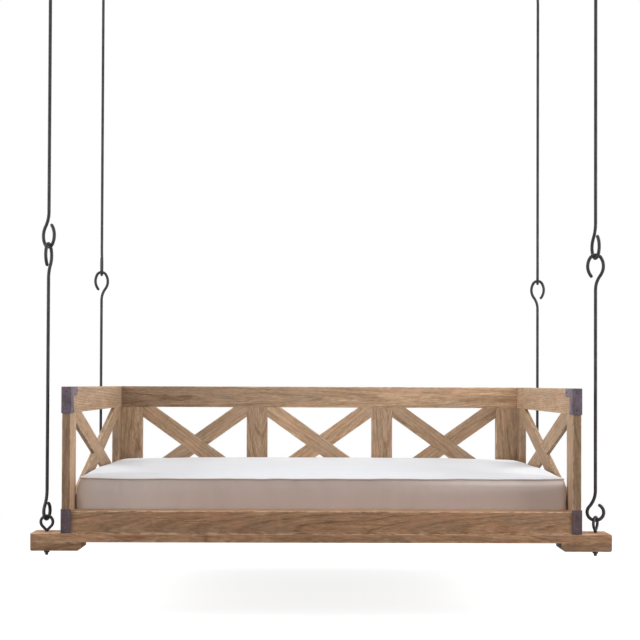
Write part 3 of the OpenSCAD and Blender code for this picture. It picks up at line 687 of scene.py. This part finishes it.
def grown(name, tree, values, mesh=None):
    """Runs a tree on a mesh or on nothing. Returns an object with the result as a plain mesh."""
    seed = bpy.data.objects.new(name, mesh or bpy.data.meshes.new(name))
    bpy.context.collection.objects.link(seed)
    modifier = seed.modifiers.new("grow", "NODES")
    modifier.node_group = tree
    sockets = {s.name: s.identifier for s in tree.interface.items_tree if s.in_out == "INPUT"}
    for label, value in values.items():
        modifier[sockets[label]] = value
    depsgraph = bpy.context.evaluated_depsgraph_get()
    plain = bpy.data.meshes.new_from_object(seed.evaluated_get(depsgraph))
    seed.modifiers.clear()
    seed.data = plain
    return seed


slat_low, slat_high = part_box("slats")
edges_x = sorted({round(v.co.x, 3) for v in nodes["slats"].data.vertices})
slat_starts = [x for i, x in enumerate(edges_x) if i == 0 or x - edges_x[i - 1] > CLEAR_GAP][::2]
slat_w = min(x for x in edges_x if x > slat_starts[0] + CLEAR_GAP) - slat_starts[0]
slat_step = (slat_starts[-1] - slat_starts[0]) / (len(slat_starts) - 1)
slat_size = Vector((slat_w, slat_high.y - slat_low.y, slat_high.z - slat_low.z))
first = Vector((slat_low.x + slat_w / 2,
                (slat_low.y + slat_high.y) / 2, (slat_low.z + slat_high.z) / 2))
slats = grown("slats_laid", slat_tree(), {
    "Count": len(slat_starts), "First": first, "Step": Vector((slat_step, 0, 0)),
    "Size": slat_size, "Timber": panel_timber})

# The tree leaves an empty finish beside the timber, so the rounded slats get the timber alone
bm = bmesh.new()
bm.from_mesh(slats.data)
round_edges(bm, SLAT_EDGE)
for face in bm.faces:
    face.material_index = 0
bm.to_mesh(slats.data)
bm.free()
slats.data.materials.clear()
slats.data.materials.append(panel_timber)
slat_of = [round((v.co.x - first.x) / slat_step) for v in slats.data.vertices]
islands = [np.array([i for i, s in enumerate(slat_of) if s == k]) for k in range(len(slat_starts))]
lay_grain(slats.data, ACROSS, random.Random("slats"), SLAT_TONE, islands=islands)
finish_piece(slats, "slats")
print("slats:", len(slat_starts), "wide", round(slat_w, 3), "step", round(slat_step, 4))

# %% [markdown]
# ## The mattress
#
# A mattress is a block of foam in a sewn cover: a white top, a warmer band round its side, and a
# piped seam where they meet. The foam pushes the cover up in a soft roll just inside the seam and
# swells a little more towards the middle. The block is built as one closed grid, finer near its
# edges, where the roll is. Then cloth simulation lets the cover find its own tension: the two
# seams and the underside are held, gentle pressure pumps the rest, and no point may travel further
# than the foam would let it.

# %% The foam block
LEFT, RIGHT = -1, 1      # the two ends of the bed
CROWN = 0.014            # how far the solid's middle stands above its seam
CORNERS = {LEFT: (0.022, 0.040), RIGHT: (0.010, 0.020)}  # the front corners' radii, bottom and top
BACK_CORNER = (0.032, 0.095)     # the radii of both corners at the back, which are softer
END_IN = {LEFT: 0.010, RIGHT: 0.006}     # how far the top seam is drawn in at the ends
FRONT_IN = 0.003         # how far it is drawn in at the front and back
PULL = 0.015             # how much further it is drawn in along the right part of the front
PULL_FROM, PULL_OVER = 0.20, 0.5     # how far along the bed that starts, and its length to the full
PULL_DEPTH = 7           # the power that keeps it close under the seam
WANDER = 0.0028          # how far the top seam strays up and down
ROLL_H, ROLL_W = 0.015, 0.027    # height and width of the roll inside the seam
END_ROLL = {LEFT: 0.50, RIGHT: 0.22}     # how much higher the roll stands at the ends, as a share
END_REACH, END_OVER = 0.30, 0.25     # how far in that starts, and over what length it grows
SLACK = (0.27, 0.42)     # how far from the front and back corners the roll has its full height
CORNER_FIRM = 0.36       # what is left of the roll at a corner, as a share
SWELL = 0.008            # what the middle rises above the roll
SNUG = 0.0016            # how far the ends press out towards the side panels
CELLS = (124, 66, 13)    # how many cells the grid has along, across and up
EVEN = 0.38              # the share of the cells' spacing that stays even
CREASE = 0.8             # how crisp the seams stay when the cover is smoothed
low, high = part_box("mattress")
seam_z = high.z - CROWN
centre = (low + high) / 2
half_size = (high - low) / 2 + Vector((SNUG, 0, 0))


def share(value):
    """A value kept between 0 and 1."""
    return min(max(value, 0), 1)


def eased(t):
    """A share that starts and ends gently."""
    return t * t * (3 - 2 * t)


def spread(i, count):
    """A step along a side from -1 to 1, finer near both ends."""
    u = 2 * i / count - 1
    return EVEN * u + (1 - EVEN) * math.sin(u * math.pi / 2)


def tug(x):
    """How hard the front seam is drawn in: not at all on the left, and fully on the right. It also
    sets the painted highlight below that seam.
    """
    return share((x - PULL_FROM) / PULL_OVER)


def block_point(i, j, k):
    """Where a corner of the grid lies on the foam block."""
    level = k / CELLS[2]
    drawn = max(level - 0.5, 0) ** 2 * 4
    end = RIGHT if 2 * i > CELLS[0] else LEFT
    in_front = 2 * j < CELLS[1]
    radii = CORNERS[end] if in_front else BACK_CORNER
    corner = radii[0] + (radii[1] - radii[0]) * drawn
    reach_x = half_size.x - END_IN[end] * drawn
    x = spread(i, CELLS[0]) * reach_x
    reach_y = half_size.y - FRONT_IN * drawn
    if in_front:
        reach_y -= PULL * tug(x) * drawn ** PULL_DEPTH
    y = spread(j, CELLS[1]) * reach_y

    # Round the corners. inward is how far the point lies from the nearest side
    over_x, over_y = abs(x) - reach_x + corner, abs(y) - reach_y + corner
    inward = corner - max(over_x, over_y)
    if over_x > 0 and over_y > 0:
        pull = max(over_x, over_y) / math.hypot(over_x, over_y)
        x = math.copysign(reach_x - corner + over_x * pull, x)
        y = math.copysign(reach_y - corner + over_y * pull, y)

    # The seam strays in long waves and short ones, and less at the back than at the front
    stray = noise.noise(Vector((x * 5, y * 5, 1))) + 0.5 * noise.noise(Vector((x * 13, y * 13, 4)))
    stray *= 0.6 - 0.4 * y / half_size.y
    z = low.z + (seam_z + WANDER * stray - low.z) * level
    if k == CELLS[2]:
        roll = 1 - (1 - min(inward / ROLL_W, 1)) ** 2
        dome = (1 - (x / half_size.x) ** 2) * (1 - (y / half_size.y) ** 2)
        from_corner = math.hypot(half_size.x - abs(x), half_size.y - abs(y))
        firm = CORNER_FIRM + (1 - CORNER_FIRM) * eased(share(from_corner / SLACK[y > 0]))
        firm *= 1 + END_ROLL[end] * eased(share((abs(x) - half_size.x + END_REACH) / END_OVER))
        z += ROLL_H * math.sqrt(roll) * firm + SWELL * dome
    return Vector((centre.x + x, centre.y + y, z))


def foam_block():
    """A closed grid of quads, the vertices on each seam in order, and the vertices underneath."""
    bm = bmesh.new()
    made = {}
    top, band = 0, 1     # the cover's two cloths, by their place in the mesh's list of materials

    def vertex(i, j, k):
        if (i, j, k) not in made:
            made[i, j, k] = bm.verts.new(block_point(i, j, k))
        return made[i, j, k]

    def face(corners, flip, cloth):
        ring = [vertex(*c) for c in corners]
        bm.faces.new(ring[::-1] if flip else ring).material_index = cloth

    nx, ny, nz = CELLS
    for i in range(nx):
        for j in range(ny):
            for k, flip, cloth in ((0, True, band), (nz, False, top)):
                face([(i, j, k), (i + 1, j, k), (i + 1, j + 1, k), (i, j + 1, k)], flip, cloth)
    for k in range(nz):
        for i in range(nx):
            for j, flip in ((0, False), (ny, True)):
                face([(i, j, k), (i + 1, j, k), (i + 1, j, k + 1), (i, j, k + 1)], flip, band)
        for j in range(ny):
            for i, flip in ((0, True), (nx, False)):
                face([(i, j, k), (i, j + 1, k), (i, j + 1, k + 1), (i, j, k + 1)], flip, band)
    bm.verts.index_update()
    around = ([(i, 0) for i in range(nx)] + [(nx, j) for j in range(ny)]
              + [(i, ny) for i in range(nx, 0, -1)] + [(0, j) for j in range(ny, 0, -1)])
    seams = {k: [made[i, j, k].index for i, j in around] for k in (0, nz)}
    under = [v.index for (i, j, k), v in made.items() if k == 0]
    return bm, seams, under


bm, seams, under = foam_block()
crease = bm.edges.layers.float.new("crease_edge")
for ring in seams.values():
    on_seam = set(ring)
    for edge in bm.edges:
        if all(v.index in on_seam for v in edge.verts):
            edge[crease] = CREASE
mesh = bpy.data.meshes.new("mattress_cover")
bm.to_mesh(mesh)
bm.free()
mattress = bpy.data.objects.new("mattress_cover", mesh)
bpy.context.collection.objects.link(mattress)
print("foam block:", len(mesh.vertices), "points,", len(seams[0]), "on each seam")

# %% Pump the cover
PRESSURE = 4.0
STRETCH = -0.004         # a shrinking below 0 lets the cloth grow a little
FRAMES = 20
MOST_TRAVEL = Vector((0.0012, 0.0045, 0.0045))


def pumped(piece, held):
    """Runs the cover as cloth under pressure, with some points held. Returns where they all go."""
    group = piece.vertex_groups.new(name="held")
    group.add(held, 1.0, "REPLACE")
    cloth = piece.modifiers.new("cloth", "CLOTH")
    cloth.settings.vertex_group_mass = "held"
    cloth.settings.use_pressure = True
    cloth.settings.uniform_pressure_force = PRESSURE
    cloth.settings.shrink_min = STRETCH
    cloth.settings.effector_weights.gravity = 0
    cloth.point_cache.frame_start = 1
    cloth.point_cache.frame_end = FRAMES
    scene = bpy.context.scene
    for number in range(1, FRAMES + 1):
        scene.frame_set(number)
    depsgraph = bpy.context.evaluated_depsgraph_get()
    places = np.empty(len(piece.data.vertices) * 3)
    piece.evaluated_get(depsgraph).data.vertices.foreach_get("co", places)
    scene.frame_set(1)
    piece.modifiers.remove(cloth)
    piece.vertex_groups.remove(group)
    return places.reshape(-1, 3)


start = np.empty(len(mesh.vertices) * 3)
mesh.vertices.foreach_get("co", start)
start = start.reshape(-1, 3)
most = np.array(MOST_TRAVEL)
travel = np.clip(pumped(mattress, under + seams[CELLS[2]]) - start, -most, most)
mesh.vertices.foreach_set("co", (start + travel).ravel())
print("cover pumped, the most that a point moved:", abs(travel).max(0).round(4).tolist())

# %% [markdown]
# ## The cover's cloth and its seams
#
# The cover is a plain weave. Its threads are drawn as two sets of fine lines, one along the bed
# and one across it. The band gets shallow upright ripples, because it is cut a little long and
# drawn round the foam. Along the right part of the front the seam is drawn in, and a strip of the
# band below it is painted paler: a painted highlight, where the band bulges up towards the light.
# Towards the left end the band turns paler and the top greyer. The mesh carries one attribute
# that says where, and each cloth has a colour that it turns to.
# A thin piping hides the upper seam, and a row of stitches runs below it.
# Piping and stitches both follow a path, so they are a job for Geometry Nodes: the path is the
# mattress's own seam, and the tree sweeps a round bead along it or sets a stitch at every step.

# %% Material for the cover
def cloth_material(name, ground, shade, highlight_and_left_end_colour, wide):
    """A plain weave. Where the mesh's attribute for it is 1, it turns to its last colour: a painted
    highlight on the band below the front seam, and the change at the left end.

    wide is the scale of its soft shades along each axis.
    """
    material, shader = new_material(name, roughness=0.85)
    tree = material.node_tree
    where = put(tree, "ShaderNodeTexCoord").outputs["Object"]
    warp = noise_at(tree, where, (60, 1500, 1500), 1.0)
    weft = noise_at(tree, where, (1500, 60, 60), 1.0)
    soft = noise_at(tree, where, wide, 3.0)
    slubs = step(tree, noise_at(tree, where, (30, 420, 420), 2.0), 0.62, 0.80)
    colour = mixed(tree, total(tree, (soft, 0.5)), ground, shade)
    colour = mixed(tree, total(tree, (slubs, 0.20)), colour, shade)
    # The painted highlight and the left end's change: the colour turns to the last one where the
    # attribute says
    colour = mixed(tree, attribute(tree, "highlight_strip_and_left_end", "Fac"), colour, highlight_and_left_end_colour)
    tree.links.new(colour, shader.inputs["Base Color"])
    shader.inputs["Sheen Weight"].default_value = 0.12
    shader.inputs["Specular IOR Level"].default_value = 0.2
    bumped(tree, shader, total(tree, (warp, 1.0), (weft, 1.0), (slubs, 0.4)), 0.22, 0.0006)
    return material


top_cloth = cloth_material("top_cloth", ground=srgb(228, 230, 234), shade=srgb(214, 217, 223),
                           highlight_and_left_end_colour=srgb(194, 196, 200), wide=(4, 4, 4))
band_cloth = cloth_material("band_cloth", ground=srgb(208, 190, 182), shade=srgb(178, 165, 158),
                            highlight_and_left_end_colour=srgb(232, 226, 222), wide=(16, 5, 3))
mesh.materials.append(top_cloth)
mesh.materials.append(band_cloth)

# %% Ripple the band and smooth the cover
RIPPLE = 0.0016          # how deep the ripples are, at the foot of the band
CALM = 0.6               # how much of that is lost at its top, as a share
EDGE = 0.05              # the share of the band's height, next to each seam, that doesn't ripple
LEFT_END_SHARE = 0.45              # how far the left end turns to each cloth's last colour: the band paler, the top greyer
LEFT_END_FROM, LEFT_END_OVER = 0.45, 0.40      # how far left that starts, and its length to the full
FRONT_SIDE, END_SIDE = 0.03, 0.02    # a point this near to the front, or to an end, belongs to it
strip_top, palest, strip_foot = 0.002, 0.011, 0.026  # the strip of the painted highlight, measured below the seam
band_height = seam_z - low.z
highlight_strip_and_left_end = mesh.attributes.new("highlight_strip_and_left_end", "FLOAT", "POINT").data
for v in mesh.vertices:
    level = (v.co.z - low.z) / band_height
    below = seam_z - v.co.z
    # Towards the left end the band turns paler and the top greyer
    left_end = LEFT_END_SHARE * share((centre.x - v.co.x - LEFT_END_FROM) / LEFT_END_OVER)
    highlight_strip_and_left_end[v.index].value = left_end
    # Painted highlight: on the right part of the front, the band just below the seam is painted
    # paler, where it bulges up towards the light
    if v.co.y < low.y + FRONT_SIDE:
        strip = min((below - strip_top) / (palest - strip_top),
                    (strip_foot - below) / (strip_foot - palest))
        uneven = 1.1 + 0.5 * noise.noise(Vector((v.co.x * 11, 0, v.co.z * 20)))
        highlight_strip_and_left_end[v.index].value = share(max(strip, 0) * tug(v.co.x - centre.x) * uneven + left_end)
    if EDGE < level < 1 - EDGE:
        off = v.co - centre
        at_end = abs(off.x) > half_size.x - END_SIDE
        out = Vector((math.copysign(1, off.x), 0, 0) if at_end else (0, math.copysign(1, off.y), 0))
        wave = noise.noise(Vector((v.co.x * 26, v.co.y * 26, v.co.z * 3)))
        v.co -= out * RIPPLE * (1 + wave) * (1 - CALM * level)
mesh.shade_smooth()
smoother = mattress.modifiers.new("smooth", "SUBSURF")
smoother.levels = smoother.render_levels = 1
finish_piece(mattress, "mattress")
print("cover:", len(mesh.polygons) * 8, "triangles after smoothing")

# %% Piping and stitches by Geometry Nodes
PIPING = 0.0028          # the piping's radius
PIPING_UP, PIPING_OUT = 0.0004, 0.0002       # from the seam to its middle
STITCH = Vector((0.0011, 0.0011, 0.0050))
STITCH_PITCH = 0.0085
STITCH_DOWN, STITCH_IN = 0.0065, 0.0002      # from the seam to the row of stitches


def bead_tree():
    """A round bead swept along a path."""
    tree, given, out = new_tree("bead", {"Path": "Geometry", "Radius": "Float",
                                         "Cloth": "Material"})
    path = put(tree, "GeometryNodeMeshToCurve", {"Mesh": given["Path"]})
    profile = put(tree, "GeometryNodeCurvePrimitiveCircle",
                  {"Resolution": 10, "Radius": given["Radius"]})
    bead = put(tree, "GeometryNodeCurveToMesh",
               {"Curve": path.outputs[0], "Profile Curve": profile.outputs[0]})
    smooth = put(tree, "GeometryNodeSetShadeSmooth", {"Geometry": bead.outputs[0]})
    return end_tree(tree, smooth.outputs[0], given["Cloth"], out)


def stitch_tree():
    """A stitch at every step along a path."""
    tree, given, out = new_tree("stitches", {"Path": "Geometry", "Pitch": "Float", "Size": "Vector",
                                             "Thread": "Material"})
    path = put(tree, "GeometryNodeMeshToCurve", {"Mesh": given["Path"]})
    points = put(tree, "GeometryNodeCurveToPoints",
                 {"Curve": path.outputs[0], "Length": given["Pitch"]}, mode="LENGTH")
    one = put(tree, "GeometryNodeMeshIcoSphere", {"Radius": 0.5, "Subdivisions": 1})
    long = put(tree, "GeometryNodeTransform", {"Geometry": one.outputs[0], "Scale": given["Size"]})
    laid = put(tree, "GeometryNodeInstanceOnPoints",
               {"Points": points.outputs["Points"], "Instance": long.outputs[0],
                "Rotation": points.outputs["Rotation"]})
    return end_tree(tree, laid.outputs[0], given["Thread"], out)


def seam_path(name, up, out_by):
    """A closed loop of edges that follows the upper seam, moved up and outwards."""
    ring = [Vector(start[i]) for i in seams[CELLS[2]]]
    moved = []
    for before, point, after in zip(ring[-1:] + ring[:-1], ring, ring[1:] + ring[:1]):
        run = (after - before).normalized()
        moved.append(point + Vector((run.y, -run.x, 0)) * out_by + Vector((0, 0, up)))
    path = bpy.data.meshes.new(name)
    path.from_pydata(moved, [(i, (i + 1) % len(moved)) for i in range(len(moved))], [])
    return path


piping = grown("mattress_piping", bead_tree(), {"Radius": PIPING, "Cloth": band_cloth},
               seam_path("piping", PIPING_UP, PIPING_OUT))
stitches = grown("mattress_stitches", stitch_tree(),
                 {"Pitch": STITCH_PITCH, "Size": STITCH, "Thread": top_cloth},
                 seam_path("stitches", -STITCH_DOWN, -STITCH_IN))
for piece in (piping, stitches):
    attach(piece, "bed")
    print(piece.name, len(piece.data.polygons), "faces")
